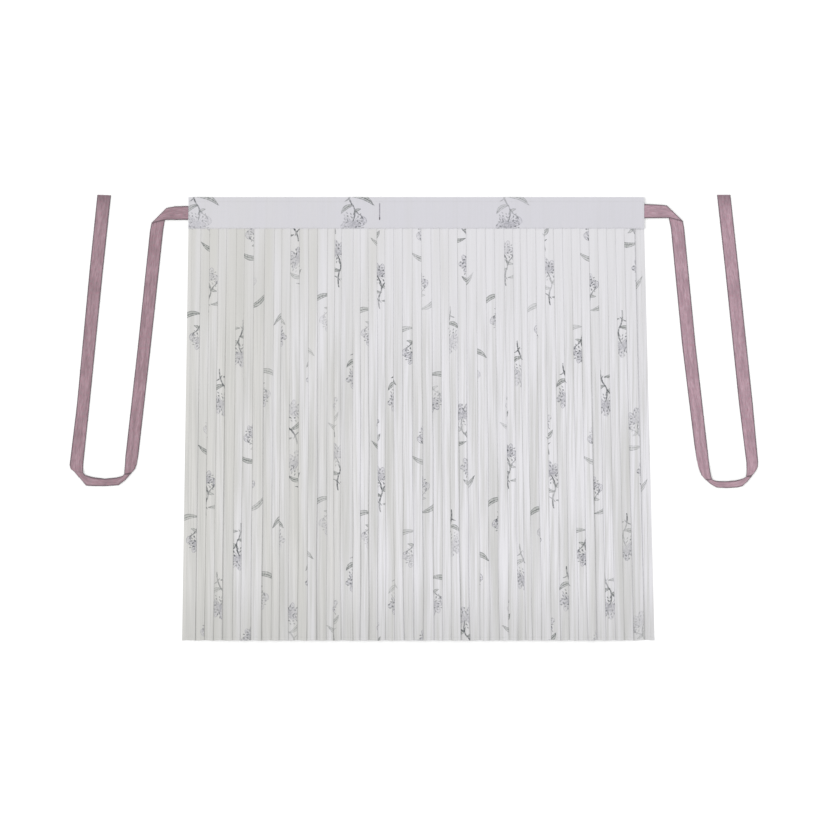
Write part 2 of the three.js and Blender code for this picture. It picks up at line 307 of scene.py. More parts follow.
def add_cloth_grid(name, points, unrolled, map_name):
    """A grid of cloth, cut flat and then laid: points and its flat-cut places, as columns of rows."""
    columns, rows = points.shape[:2]
    bpy.ops.object.select_all(action="DESELECT")
    bpy.ops.mesh.primitive_grid_add(x_subdivisions=columns - 1, y_subdivisions=rows - 1, size=1.0)
    piece = bpy.context.object
    piece.name = piece.data.name = name
    mesh = piece.data
    flat = numpy.empty(3 * len(mesh.vertices))
    mesh.vertices.foreach_get("co", flat)
    flat = flat.reshape(-1, 3) + 0.5
    column = numpy.rint(flat[:, 0] * (columns - 1)).astype(int)
    row = numpy.rint(flat[:, 1] * (rows - 1)).astype(int)
    mesh.vertices.foreach_set("co", points[column, row].ravel())
    corner = numpy.empty(len(mesh.loops), dtype=numpy.int32)
    mesh.loops.foreach_get("vertex_index", corner)
    cut_map = mesh.uv_layers[0]
    cut_map.name = map_name
    cut_map.data.foreach_set("uv", unrolled[column, row][corner].ravel())
    mesh.update()
    return piece, column, row


cloth_points = numpy.stack([cloth_x, cloth_y, cloth_z], axis=2)
unrolled_cloth = numpy.stack(numpy.meshgrid(cloth_along, row_heights, indexing="ij"), axis=2)
panel, _, panel_row = add_cloth_grid("pleated_cloth", cloth_points, unrolled_cloth, "cloth_metres")

turning = panel.vertex_groups.new(name="hem_turning")
turned = numpy.flatnonzero(row_heights[panel_row] < hem_depth)
turning.add([int(v) for v in turned], 1.0, "REPLACE")
wall = panel.modifiers.new("cloth_wall", "SOLIDIFY")
wall.thickness = hem_thickness
wall.offset = 0
wall.vertex_group = "hem_turning"
wall.thickness_vertex_group = cloth_thickness / hem_thickness
bpy.ops.object.modifier_apply(modifier=wall.name)
bpy.ops.object.shade_smooth_by_angle(angle=math.radians(60))


def add_node(tree, kind, inputs, **settings):
    """A node with its settings, and with every input set to a value or linked to another node."""
    node = tree.nodes.new("ShaderNode" + kind)
    for name, value in settings.items():
        setattr(node, name, value)
    for name, source in inputs.items():
        if isinstance(source, bpy.types.NodeSocket):
            tree.links.new(source, node.inputs[name])
        else:
            node.inputs[name].default_value = source
    return node


def calculate(tree, operation, *terms):
    return add_node(tree, "Math", dict(enumerate(terms)), operation=operation).outputs[0]


def times(tree, first, second):
    return calculate(tree, "MULTIPLY", first, second)


def plus(tree, first, second):
    return calculate(tree, "ADD", first, second)


def minus(tree, first, second):
    return calculate(tree, "SUBTRACT", first, second)


def ease(tree, value, low, high):
    """Goes softly from 0 at low to 1 at high."""
    inputs = {"Value": value, "From Min": low, "From Max": high}
    return add_node(tree, "MapRange", inputs, interpolation_type="SMOOTHSTEP").outputs["Result"]


def dye(tree, share, ground, colour):
    """Colours the ground by a share from 0 to 1."""
    return add_node(tree, "Mix", {0: share, 6: ground, 7: colour}, data_type="RGBA").outputs[2]


def screen_colour(red, green, blue):
    """Linear colour of a display colour given from 0 to 255."""
    parts = [part / 255 for part in (red, green, blue)]
    return tuple(p / 12.92 if p <= 0.04045 else ((p + 0.055) / 1.055) ** 2.4 for p in parts) + (1.0,)


def streaks(tree, place, across_size, along_size, detail=2.0):
    """Soft noise drawn out along the cloth. The sizes are in metres."""
    scale = (1 / across_size, 1 / along_size, 1)
    stretched = add_node(tree, "Mapping", {"Vector": place, "Scale": scale}).outputs["Vector"]
    inputs = {"Vector": stretched, "Scale": 1.0, "Detail": detail}
    return add_node(tree, "TexNoise", inputs).outputs["Fac"]


def new_group(name, inputs, outputs):
    """A node group, given as names of its number inputs and outputs. An input named Place is a vector."""
    tree = bpy.data.node_groups.new(name, "ShaderNodeTree")
    for socket_name in inputs:
        kind = "NodeSocketVector" if socket_name == "Place" else "NodeSocketFloat"
        tree.interface.new_socket(socket_name, in_out="INPUT", socket_type=kind)
    for socket_name in outputs:
        tree.interface.new_socket(socket_name, in_out="OUTPUT", socket_type="NodeSocketFloat")
    return tree, tree.nodes.new("NodeGroupInput").outputs, tree.nodes.new("NodeGroupOutput").inputs


def split_place(tree, place):
    split = add_node(tree, "SeparateXYZ", {"Vector": place})
    return split.outputs["X"], split.outputs["Y"]


def join_place(tree, x, y):
    return add_node(tree, "CombineXYZ", {"X": x, "Y": y}).outputs["Vector"]


# One brush stroke of the print. It runs from 0 to 1 along X, bows aside in millimetres, and tapers to
# both ends. An outline runs along its soft edge.
stroke_softness = 0.25
outline_faded = 0.95
outline_full = 0.45
stroke_inputs = ("Place", "Bow", "Width", "Fullness")
brush, brush_in, brush_out = new_group("print_stroke", stroke_inputs, ("Fill", "Outline"))
along, aside = split_place(brush, brush_in["Place"])
arch = times(brush, times(brush, along, 4.0), minus(brush, 1.0, along))
arch = calculate(brush, "MAXIMUM", arch, 0.0)
bowed = minus(brush, aside, times(brush, brush_in["Bow"], arch))
reach = times(brush, brush_in["Width"], calculate(brush, "POWER", arch, brush_in["Fullness"]))
margin = minus(brush, reach, calculate(brush, "ABSOLUTE", bowed))
within = calculate(brush, "GREATER_THAN", arch, 0.002)
filled = ease(brush, margin, -stroke_softness, stroke_softness)
brush.links.new(times(brush, within, filled), brush_out["Fill"])
edge = ease(brush, calculate(brush, "ABSOLUTE", margin), outline_faded, outline_full)
brush.links.new(times(brush, within, edge), brush_out["Outline"])

# The sprig, in millimetres about its middle, drawn upright: a bent stem, long leaves, and a loose blossom
# head. "wide" is half of a stroke's width, and a small "full" keeps that width nearly to its ends.
sprig_columns = ("part", "x0", "y0", "x1", "y1", "bow", "wide", "full")
sprig_strokes = [
    ("ink", 15, -49, 4, -12, -3.5, 1.6, 0.12),
    ("ink", 4, -12, 7, 18, 3.0, 1.35, 0.12),
    ("ink", 4, -14, -12, 7, -3.0, 1.0, 0.2),
    ("leaf", 8, -33, -36, -15, 7.5, 4.6, 0.9),
    ("ink", 8, -33, -38, -14, 7.0, 0.75, 0.3),
    ("leaf", 4, -16, 30, 1, -5.0, 3.8, 0.9),
    ("ink", 4, -16, 31, 2, -4.6, 0.7, 0.3),
    ("leaf", 5, 2, -10, -8, 2.5, 2.4, 0.9),
    ("ink", 9, -37, 23, -24, 2.0, 1.3, 0.6),
    ("petal", 7, 20, -16, 24, 2.0, 5.0, 0.6),
    ("petal", 7, 20, -10, 40, 2.0, 5.4, 0.55),
    ("petal", 7, 20, 5, 47, 1.5, 5.4, 0.55),
    ("petal", 7, 20, 21, 43, -2.0, 5.2, 0.55),
    ("petal", 7, 20, 32, 29, -2.0, 5.0, 0.6),
    ("petal", 7, 20, 24, 8, 2.0, 4.0, 0.6),
    ("petal", -11, 7, -20, 22, 1.0, 4.0, 0.6),
    ("ink", -10, 5, -14, 13, 0.6, 1.6, 0.5),
]
blossom_centre = (7.0, 20.0)
print_repeat = 315.0
sprig_step = 103.0

# The rows of sprigs repeat in fours, each shifted along from the last. The middle two hang head down,
# the last two are mirrored, and each leans a little further over.
sprig_rows = 4.0
row_shift = 0.37
inverted_rows = 1.5
mirrored_from = 1.5
upright_row = 1.2
lean_step = 0.11

sprig, sprig_in, sprig_out = new_group("sprig_print", ("Place",), ("Petal", "Petal Line", "Leaf", "Ink"))
place_x, place_y = split_place(sprig, sprig_in["Place"])
round_mm = times(sprig, place_x, 1000.0)
down_rows = calculate(sprig, "DIVIDE", times(sprig, place_y, 1000.0), sprig_step)
row = calculate(sprig, "FLOOR", down_rows)
kind = calculate(sprig, "FLOORED_MODULO", row, sprig_rows)
local_y = minus(sprig, minus(sprig, down_rows, row), 0.5)
local_y = times(sprig, local_y, sprig_step)
shifted = minus(sprig, round_mm, times(sprig, kind, row_shift * print_repeat))
local_x = calculate(sprig, "FLOORED_MODULO", shifted, print_repeat)
local_x = minus(sprig, local_x, print_repeat / 2)
inverted = calculate(sprig, "COMPARE", kind, inverted_rows, 0.6)
turn = minus(sprig, 1.0, times(sprig, inverted, 2.0))
mirrored = calculate(sprig, "GREATER_THAN", kind, mirrored_from)
mirror = minus(sprig, 1.0, times(sprig, mirrored, 2.0))
placed = join_place(sprig, times(sprig, local_x, times(sprig, turn, mirror)), times(sprig, local_y, turn))
lean = times(sprig, minus(sprig, kind, upright_row), lean_step)
leaned = add_node(sprig, "VectorRotate", {"Vector": placed, "Angle": lean}, rotation_type="Z_AXIS")


def most(tree, shares):
    """The strongest of several shares."""
    strongest = shares[0]
    for share in shares[1:]:
        strongest = calculate(tree, "MAXIMUM", strongest, share)
    return strongest


fills = {"ink": [], "leaf": [], "petal": []}
outlines = {"ink": [], "leaf": [], "petal": []}
for stroke in (dict(zip(sprig_columns, numbers)) for numbers in sprig_strokes):
    run_x, run_y = stroke["x1"] - stroke["x0"], stroke["y1"] - stroke["y0"]
    laid_along = {
        "Vector": leaned.outputs["Vector"],
        "Location": (stroke["x0"], stroke["y0"], 0),
        "Rotation": (0, 0, math.atan2(run_y, run_x)),
        "Scale": (math.hypot(run_x, run_y), 1, 1),
    }
    place = add_node(sprig, "Mapping", laid_along, vector_type="TEXTURE").outputs["Vector"]
    form = {"Place": place, "Bow": stroke["bow"], "Width": stroke["wide"], "Fullness": stroke["full"]}
    mark = add_node(sprig, "Group", form, node_tree=brush)
    fills[stroke["part"]].append(mark.outputs["Fill"])
    outlines[stroke["part"]].append(mark.outputs["Outline"])

# Round the blossom's centre, fine lines fan out over the petals, and dark stamens end in small dots.
leaned_x, leaned_y = split_place(sprig, leaned.outputs["Vector"])
from_centre_x = minus(sprig, leaned_x, blossom_centre[0])
from_centre_y = minus(sprig, leaned_y, blossom_centre[1])
squared_x = times(sprig, from_centre_x, from_centre_x)
squared_y = times(sprig, from_centre_y, from_centre_y)
blossom_radius = calculate(sprig, "SQRT", plus(sprig, squared_x, squared_y))
blossom_angle = calculate(sprig, "ARCTAN2", from_centre_y, from_centre_x)


def rays(count, half_width, shift):
    """Thin lines that fan out from the blossom's centre."""
    swing = plus(sprig, times(sprig, blossom_angle, count / 2), shift)
    off_line = times(sprig, calculate(sprig, "ABSOLUTE", calculate(sprig, "SINE", swing)), 2 / count)
    off_line = times(sprig, off_line, blossom_radius)
    return ease(sprig, off_line, half_width * 1.4, half_width * 0.6)


stamen_count = 14
stamen_length = 14.0
stamen_unevenness = 3.5
outer_dot_count = 20
outer_dot_gap = 6.5
fan_line_count = 46
uneven_end = calculate(sprig, "SINE", times(sprig, blossom_angle, 5.0))
stamen_end = plus(sprig, times(sprig, uneven_end, stamen_unevenness), stamen_length)
past_end = minus(sprig, blossom_radius, stamen_end)
stamens = times(sprig, rays(stamen_count, 0.65, 0.4), ease(sprig, past_end, 0.4, -0.4))
dot_ring = ease(sprig, calculate(sprig, "ABSOLUTE", past_end), 1.9, 1.2)
stamen_dots = times(sprig, rays(stamen_count, 1.5, 0.4), dot_ring)
outer_ring = calculate(sprig, "ABSOLUTE", minus(sprig, past_end, outer_dot_gap))
outer_dots = times(sprig, rays(outer_dot_count, 1.1, 1.3), ease(sprig, outer_ring, 2.4, 1.5))
outer_dots = times(sprig, outer_dots, 0.8)
petal_fill = most(sprig, fills["petal"])
fan_lines = times(sprig, rays(fan_line_count, 0.4, 0.0), times(sprig, petal_fill, 0.6))
scribble = ease(sprig, streaks(sprig, sprig_in["Place"], 0.0016, 0.0036), 0.52, 0.6)
scribble = times(sprig, scribble, petal_fill)
pale_stamens = times(sprig, stamens, 0.8)
petal_lines = outlines["petal"] + [fan_lines, scribble, pale_stamens]
leaf_edges = times(sprig, most(sprig, outlines["leaf"]), 0.75)
dark_marks = fills["ink"] + [leaf_edges, stamen_dots, outer_dots]
sprig.links.new(petal_fill, sprig_out["Petal"])
sprig.links.new(most(sprig, petal_lines), sprig_out["Petal Line"])
sprig.links.new(most(sprig, fills["leaf"]), sprig_out["Leaf"])
sprig.links.new(most(sprig, dark_marks), sprig_out["Ink"])


def new_finish(name, roughness):
    """A material with its node tree and its shader."""
    material = bpy.data.materials.new(name)
    material.use_nodes = True
    shader = material.node_tree.nodes["Principled BSDF"]
    shader.inputs["Roughness"].default_value = roughness
    return material, material.node_tree, shader


def cut_place(tree, map_name):
    """Places on the cloth as it was cut, in metres."""
    return add_node(tree, "UVMap", {}, uv_map=map_name).outputs["UV"]


def relief(tree, height, strength, depth):
    """Fine raised detail. Its depth is in metres."""
    return add_node(tree, "Bump", {"Height": height, "Strength": strength, "Distance": depth})


def weave_and_rumple(tree, shader, threads, weave, rumples, rumple):
    """A plain weave under soft rumples. Each thread is a place across it and its pitch. The weave and the
    rumple are each a strength and a depth."""
    crossed = [calculate(tree, "SINE", times(tree, place, math.tau / pitch)) for place, pitch in threads]
    woven = relief(tree, times(tree, *crossed), *weave)
    rumpled = relief(tree, rumples, *rumple)
    tree.links.new(woven.outputs["Normal"], rumpled.inputs["Normal"])
    tree.links.new(rumpled.outputs["Normal"], shader.inputs["Normal"])


def printed_cloth(name, print_start, print_rise, warm, cool, painted_shade_strength, rumple_depth, hem_shade):
    """Light matt cotton with the scattered sprigs, which follow the cloth through its folds."""
    material, tree, shader = new_finish(name, roughness=0.88)
    shader.inputs["Specular IOR Level"].default_value = 0.2
    shader.inputs["Sheen Weight"].default_value = 0.06

    flat_place = cut_place(tree, "cloth_metres")
    round_cloth, up_cloth = split_place(tree, flat_place)

    # The rows of sprigs rise and fall slowly along the cloth.
    rise_length = 1.31
    rise = calculate(tree, "SINE", times(tree, round_cloth, math.tau / rise_length))
    print_y = plus(tree, up_cloth, times(tree, rise, print_rise))
    print_x = plus(tree, round_cloth, print_start[0])
    print_place = join_place(tree, print_x, plus(tree, print_y, print_start[1]))
    printed = add_node(tree, "Group", {"Place": print_place}, node_tree=sprig)

    # The cloth is creamier and painted darker towards its left edge, as shade, and cooler and painted
    # lighter towards its right, as light, in long uneven streaks.
    where = tree.nodes.new("ShaderNodeTexCoord").outputs["Object"]
    side, _ = split_place(tree, where)
    tone_and_side_shade = plus(tree, streaks(tree, where, 0.03, 0.5), times(tree, side, 0.8))
    ground = dye(tree, ease(tree, tone_and_side_shade, 0.08, 0.58), warm, cool)

    # Painted shade that differs from face to face, as if each face were tilted a little to the light,
    # then fine streaks of painted shade along every face. Both are weaker near the band, where the cloth
    # is held flat. Each has its noise, its start and full value, and its grey.
    held_share = 0.15
    loosened = ease(tree, up_cloth, 0.86, 0.45)
    loose = plus(tree, times(tree, loosened, 1 - held_share), held_share)
    loose_painted_shade = times(tree, loose, painted_shade_strength)
    shades = [
        (streaks(tree, flat_place, 0.024, 0.6), 0.46, 0.7, screen_colour(186, 186, 182)),
        (streaks(tree, where, 0.0045, 0.2), 0.4, 0.68, screen_colour(188, 188, 185)),
    ]
    for noise, start, full, grey in shades:
        share = times(tree, ease(tree, noise, start, full), loose_painted_shade)
        ground = dye(tree, share, ground, grey)

    # Painted shade: the foot is painted greyer, and the top a little greyer, as if shaded by the band's
    # edge.
    foot_painted_shade = ease(tree, up_cloth, 0.16, 0.0)
    top_painted_shade = times(tree, ease(tree, up_cloth, 0.5, 0.84), 0.3)
    end_painted_shade = times(tree, most(tree, [foot_painted_shade, top_painted_shade]), hem_shade)
    ground = dye(tree, end_painted_shade, ground, screen_colour(176, 176, 173))

    # The print is worn in small spots and paler in wide patches. Each ink has its strength and colour.
    spots = ease(tree, streaks(tree, flat_place, 0.0035, 0.0045, 3.0), 0.35, 0.6)
    patches = ease(tree, streaks(tree, flat_place, 0.07, 0.07, 1.0), 0.3, 0.65)
    worn_spots = plus(tree, times(tree, spots, 0.55), 0.5)
    worn_ink = times(tree, worn_spots, plus(tree, times(tree, patches, 0.65), 0.34))
    inks = [
        ("Petal", 0.3, screen_colour(191, 189, 200)),
        ("Petal Line", 0.7, screen_colour(122, 122, 130)),
        ("Leaf", 0.65, screen_colour(138, 143, 137)),
        ("Ink", 0.95, screen_colour(80, 84, 87)),
    ]
    for socket_name, strength, colour in inks:
        share = times(tree, printed.outputs[socket_name], strength)
        ground = dye(tree, times(tree, share, worn_ink), ground, colour)
    tree.links.new(ground, shader.inputs["Base Color"])

    thread_pitch = 0.0005
    threads = [(round_cloth, thread_pitch), (up_cloth, thread_pitch)]
    rumples = times(tree, streaks(tree, flat_place, 0.0055, 0.2, 3.0), loose)
    weave_and_rumple(tree, shader, threads, (0.25, 0.00003), rumples, (0.7, rumple_depth))
    return material


# warm and cool also carry painted light: the left side's colour is painted darker, as shade, and the
# right side's lighter.
pleat_cloth = printed_cloth(
    "pleat_cloth",
    print_start=(0.05, 0.035),
    print_rise=0.034,
    warm=screen_colour(205, 204, 201),
    cool=screen_colour(221, 220, 224),
    # strength of the painted shade on the pleat faces
    painted_shade_strength=0.53,
    rumple_depth=0.0016,
    hem_shade=0.36,
)
panel.data.materials.append(pleat_cloth)
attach(panel, "root")
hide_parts("pleated_panel")


# Hem and side stitching
# Fine off-white thread: one straight row of machine stitches that holds the turned hem at the foot,
# and one down each side edge that holds the narrow turning there.
stitch_length = 0.0022
stitch_gap = 0.0007
least_straight = 0.93
thread_radius = 0.00016
stitch_rise = 0.6
stitch_flatness = 0.9
hem_stitch_height = 0.0066
side_stitch_inset = 0.006


def thread_finish(name, colour):
    """Twisted cotton thread with a slightly uneven colour."""
    material, tree, shader = new_finish(name, roughness=0.7)
    shader.inputs["Sheen Weight"].default_value = 0.2
    place = tree.nodes.new("ShaderNodeTexCoord").outputs["Object"]
    fleck = streaks(tree, place, 0.004, 0.004)
    darker = tuple(0.82 * part for part in colour[:3]) + (1.0,)
    tree.links.new(dye(tree, fleck, colour, darker), shader.inputs["Base Color"])
    return material


def add_stitches(name, stitches, finish, radius, segments=6, rings=4):
    """Rounded stitches as one piece, each given by its two ends and the way up from the cloth."""
    bpy.ops.object.select_all(action="DESELECT")
    bpy.ops.mesh.primitive_uv_sphere_add(segments=segments, ring_count=rings, radius=1.0)
    single = bpy.context.object
    shape = numpy.array([vertex.co for vertex in single.data.vertices])
    # A sphere's faces come in no fixed order, so they are sorted.
    shape_faces = sorted(tuple(face.vertices) for face in single.data.polygons)
    bpy.data.objects.remove(single, do_unlink=True)
    corners, faces = [], []
    for start, end, upward in stitches:
        half = (end - start) / 2
        run = half / numpy.linalg.norm(half)
        normal = upward - upward.dot(run) * run
        normal /= numpy.linalg.norm(normal)
        sideways = numpy.cross(normal, run)
        middle = (start + end) / 2 + normal * radius * stitch_rise
        spread = numpy.stack([sideways * radius, normal * radius * stitch_flatness, half])
        base = len(corners) * len(shape)
        corners.append(middle + shape @ spread)
        faces.extend(tuple(base + corner for corner in face) for face in shape_faces)
    mesh = bpy.data.meshes.new(name)
    mesh.from_pydata(numpy.concatenate(corners).tolist(), [], faces)
    mesh.update()
    piece = bpy.data.objects.new(name, mesh)
    bpy.context.scene.collection.objects.link(piece)
    bpy.context.view_layer.objects.active = piece
    piece.select_set(True)
    bpy.ops.object.mode_set(mode="EDIT")
    bpy.ops.mesh.select_all(action="SELECT")
    bpy.ops.mesh.normals_make_consistent(inside=False)
    bpy.ops.object.mode_set(mode="OBJECT")
    bpy.ops.object.shade_smooth()
    mesh.materials.append(finish)
    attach(piece, "root")
    return piece


def along_path(spot, reached, values):
    """The point or normal at a distance along a path."""
    return numpy.array([numpy.interp(spot, reached, values[:, axis]) for axis in range(3)])


def running_stitches(points, normals):
    """Even machine stitches along a path. A stitch that would have to bend sharply is left out."""
    lengths = numpy.linalg.norm(numpy.diff(points, axis=0), axis=1)
    reached = numpy.concatenate([[0.0], numpy.cumsum(lengths)])
    pitch = stitch_length + stitch_gap
    stitches = []
    for middle in numpy.arange(pitch / 2, reached[-1] - pitch / 2, pitch):
        start = along_path(middle - stitch_length / 2, reached, points)
        end = along_path(middle + stitch_length / 2, reached, points)
        if numpy.linalg.norm(end - start) > least_straight * stitch_length:
            stitches.append((start, end, along_path(middle, reached, normals)))
    return stitches


def hem_path():
    """Points and normals on the right side of the cloth, through all the pleats, along the turned hem."""
    row_index = int(numpy.argmin(abs(row_heights - hem_stitch_height)))
    points = cloth_points[:, row_index]
    tangent = numpy.gradient(points, axis=0)
    tangent /= numpy.linalg.norm(tangent, axis=1)[:, None]
    normals = numpy.cross(tangent, numpy.array([0.0, 1.0, 0.0]))
    return points + normals * hem_thickness / 2, normals


def side_path(inset):
    column_index = int(numpy.argmin(abs(cloth_along - inset)))
    points = cloth_points[column_index] + numpy.array([0, 0, cloth_thickness / 2])
    return points, numpy.tile([0.0, 0.0, 1.0], (len(points), 1))


white_thread = thread_finish("white_thread", screen_colour(206, 206, 205))
hem_stitches = add_stitches("hem_stitches", running_stitches(*hem_path()), white_thread, thread_radius)
side_rows = running_stitches(*side_path(side_stitch_inset))
side_rows += running_stitches(*side_path(cloth_width - side_stitch_inset))
side_stitches = add_stitches("side_stitches", side_rows, white_thread, thread_radius)


# Waistband
# A straight strip of the same cloth with a thin stiffening inside, folded over at the top.
# Its front comes down over the tops of the pleats and is sewn through them along its lower edge.
band_layer = 0.0002
band_fold_radius = 0.0013
band_seam_tuck = 0.008
seam_gap = 0.0003
band_lip = 0.00042
lip_roll = 0.0014
lip_shoulder = 0.0005
lip_inside = 0.004
lip_rounding = 0.00008
front_slope = 1.1
band_columns = 186
pucker_depth = 0.00006
pucker_reach = 0.03
puckers_a_pleat = 0.97
second_pucker = 0.6
second_pucker_pitch = 0.031
table_gap = 0.0001
foot_y, top_y = band_low.y, band_high.y
inner_foot = foot_y + band_seam_tuck + seam_gap
pile_phases = numpy.arange(left_phase, fold_count + 1.1, 0.1)
pile_places = [float(across(phase)[-1]) for phase in pile_phases]
pile_tops = [top_of_pile(phase) for phase in pile_phases]


def band_section(x):
    """Y and Z round the outside of the band at one place along it, from inside the seam to the front."""
    lip_under = float(numpy.interp(x, pile_places, pile_tops)) + cloth_thickness + table_gap
    lip_over = lip_under + band_lip
    path = [(inner_foot, lip_under), (inner_foot, table_gap)]
    fold_y = top_y - band_fold_radius
    for share in (0.15, 0.4, 0.7, 0.9):
        path.append((inner_foot + share * (fold_y - inner_foot), table_gap))
    for angle in (-90, -60, -30, 0, 30, 60, 90):
        turned_y = fold_y + band_fold_radius * math.cos(math.radians(angle))
        turned_z = (band_fold_radius - table_gap) * math.sin(math.radians(angle)) + band_fold_radius
        path.append((turned_y, turned_z))
    front_foot = foot_y + lip_roll
    face_top = 2 * band_fold_radius - table_gap
    for share in (0.06, 0.12, 0.2, 0.32, 0.46, 0.6, 0.72, 0.82, 0.9, 0.96, 1.0):
        rise = math.sin(share * math.pi / 2) ** front_slope
        path.append((fold_y + share * (front_foot - fold_y), face_top + rise * (lip_over - face_top)))
    path.append((foot_y + lip_shoulder, lip_over - lip_rounding))
    path.append((foot_y, (lip_over + lip_under) / 2))
    path.append((foot_y + seam_gap, lip_under))
    path.append((foot_y + lip_inside, lip_under))
    return numpy.array(path)


# The places of that path that lie on the band's front.
front_rows = slice(13, 25)


def front_height(x, y):
    """Height of the band's front over the table."""
    front = band_section(x)[front_rows]
    return float(numpy.interp(y, front[::-1, 0], front[::-1, 1]))


band_x = numpy.linspace(band_low.x + table_gap, band_high.x - table_gap, band_columns)
sections = numpy.array([band_section(x) for x in band_x])
rings = numpy.concatenate([sections, sections[:, :1]], axis=1)
band_places = numpy.broadcast_to(band_x[:, None, None], rings[:, :, :1].shape)
band_points = numpy.concatenate([band_places, rings], axis=2)
near_seam = numpy.clip(1 - (rings[0, :, 0] - foot_y) / pucker_reach, 0, 1)
near_seam[: front_rows.start] = 0
near_seam[front_rows.stop :] = 0
pull = numpy.sin(band_x / even_pleat * math.tau * puckers_a_pleat)
pull += second_pucker * numpy.sin(band_x / second_pucker_pitch * math.tau + 1)
band_points[:, :, 2] += pucker_depth * pull[:, None] * near_seam[None, :]
middle_ring = rings[band_columns // 2]
round_band = numpy.concatenate([[0.0], numpy.cumsum(numpy.hypot(*numpy.diff(middle_ring, axis=0).T))])
band_cut_height = float(round_band[-1])
foot_index = front_rows.stop + 1
from_foot = (round_band[foot_index] - round_band) % band_cut_height
band_unrolled = numpy.stack(numpy.meshgrid(band_x - band_low.x, from_foot, indexing="ij"), axis=2)
band, _, _ = add_cloth_grid("waistband_cloth", band_points, band_unrolled, "cloth_metres")

bpy.ops.object.mode_set(mode="EDIT")
bpy.ops.mesh.select_all(action="SELECT")
bpy.ops.mesh.remove_doubles(threshold=0.00001)
bpy.ops.mesh.select_all(action="DESELECT")
bpy.ops.mesh.select_mode(type="EDGE")
bpy.ops.mesh.select_non_manifold(
    extend=False, use_wire=False, use_multi_face=False, use_non_contiguous=False, use_verts=False
)
bpy.ops.mesh.fill_holes(sides=0)
bpy.ops.mesh.select_all(action="SELECT")
bpy.ops.mesh.normals_make_consistent(inside=False)
bpy.ops.object.mode_set(mode="OBJECT")
layer = band.modifiers.new("band_layer", "SOLIDIFY")
layer.thickness = band_layer
layer.offset = -1
bpy.ops.object.modifier_apply(modifier=layer.name)

# The slit that one tie is drawn through when the skirt is worn. It is cut through both layers.
slit_x = -0.0695
slit_foot = 0.4025
slit_length = 0.032
slit_width = 0.00025
knife_middle = 0.004
knife_height = 0.02
slit_middle = (slit_x, slit_foot + slit_length / 2, knife_middle)
bpy.ops.object.select_all(action="DESELECT")
bpy.ops.mesh.primitive_cube_add(size=1.0, location=slit_middle)
slit_knife = bpy.context.object
slit_knife.scale = (slit_width, slit_length, knife_height)
bpy.ops.object.transform_apply()
bpy.ops.object.select_all(action="DESELECT")
bpy.context.view_layer.objects.active = band
band.select_set(True)
cut_through = band.modifiers.new("slit", "BOOLEAN")
cut_through.operation = "DIFFERENCE"
cut_through.solver = "EXACT"
cut_through.object = slit_knife
bpy.ops.object.modifier_apply(modifier=cut_through.name)
bpy.data.objects.remove(slit_knife, do_unlink=True)
bpy.ops.object.shade_smooth_by_angle(angle=math.radians(40))
band_cloth = printed_cloth(
    "band_cloth",
    print_start=(0.249, 0.1225),
    print_rise=0.0,
    warm=screen_colour(206, 205, 209),
    cool=screen_colour(206, 205, 211),
    painted_shade_strength=0.06,
    rumple_depth=0.0003,
    hem_shade=0.0,
)
band.data.materials.append(band_cloth)
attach(band, "root")
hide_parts("waistband")


# Band stitching and the bound slit
# The same off-white thread: a row just above the band's lower edge, one under its top fold and one at
# each end. Close overcast stitches bind the slit, with a darker bar of them across its lower end.
end_stitch_inset = 0.0028
foot_stitch_inset = 0.0022
top_stitch_inset = 0.009
bind_reach = 0.0012
bind_pitch = 0.0006
bind_radius = 0.00028
lower_bars = 9
upper_bars = 2


def band_path(start, end, count=60):
    """A straight path over the band's front between two places."""
    places = numpy.linspace(start, end, count)
    points = numpy.array([(x, y, front_height(x, y)) for x, y in places])
    return points, numpy.tile([0.0, 0.0, 1.0], (count, 1))


west, east = band_low.x + end_stitch_inset, band_high.x - end_stitch_inset
south, north = foot_y + foot_stitch_inset, top_y - top_stitch_inset
band_sides = [
    ((west, south), (east, south)),
    ((west, north), (east, north)),
    ((west, south), (west, north)),
    ((east, south), (east, north)),
]
band_rows = []
for start, end in band_sides:
    band_rows += running_stitches(*band_path(start, end))
band_stitches = add_stitches("band_stitches", band_rows, white_thread, thread_radius)


def across_slit(x0, x1, y, raised):
    """One binding stitch, square to the slit."""
    upward = numpy.array([0.0, 0.0, 1.0])
    height = front_height(slit_x, y) + raised
    return numpy.array([x0, y, height]), numpy.array([x1, y, height]), upward


bound_edges, end_bars = [], []
slit_edge = 0.00003
slit_outer = slit_edge + bind_reach
for y in numpy.arange(slit_foot, slit_foot + slit_length, bind_pitch):
    bound_edges.append(across_slit(slit_x - slit_outer, slit_x - slit_edge, y, 0.0))
    bound_edges.append(across_slit(slit_x + slit_edge, slit_x + slit_outer, y, 0.0))
for bar in range(upper_bars):
    y = slit_foot + slit_length + (bar - 0.5) * bind_pitch
    bound_edges.append(across_slit(slit_x - slit_outer, slit_x + slit_outer, y, bind_radius))
for bar in range(lower_bars):
    y = slit_foot + (bar - 1.5) * bind_pitch
    end_bars.append(across_slit(slit_x - slit_outer, slit_x + slit_outer, y, bind_radius))
binding_thread = thread_finish("binding_thread", screen_colour(190, 187, 196))
bar_thread = thread_finish("bar_thread", screen_colour(88, 84, 92))
slit_binding = add_stitches("slit_binding", bound_edges, binding_thread, bind_radius, segments=8, rings=6)
slit_bar = add_stitches("slit_bar", end_bars, bar_thread, bind_radius, segments=8, rings=6)


# Ties
# Two lengths of soft mauve woven tape with pressed edges, each let into an end of the band at mid height.
# Each is turned down at a folded corner, and is doubled along its length where it bends round below.
tape_width = 0.027
tape_thickness = 0.0008
tape_layer_step = 0.0011
tape_rest = tape_thickness / 2
tape_crown = 0.00025
stub_height = 0.002
corner_radius = (stub_height - tape_rest) / 2
tape_columns = 15
corner_row = 2
corner_crease_shade = 0.8
doubled_from = 0.1
bend_softness = 0.035
bend_spread = 0.05
crease_shade_reach = 0.09
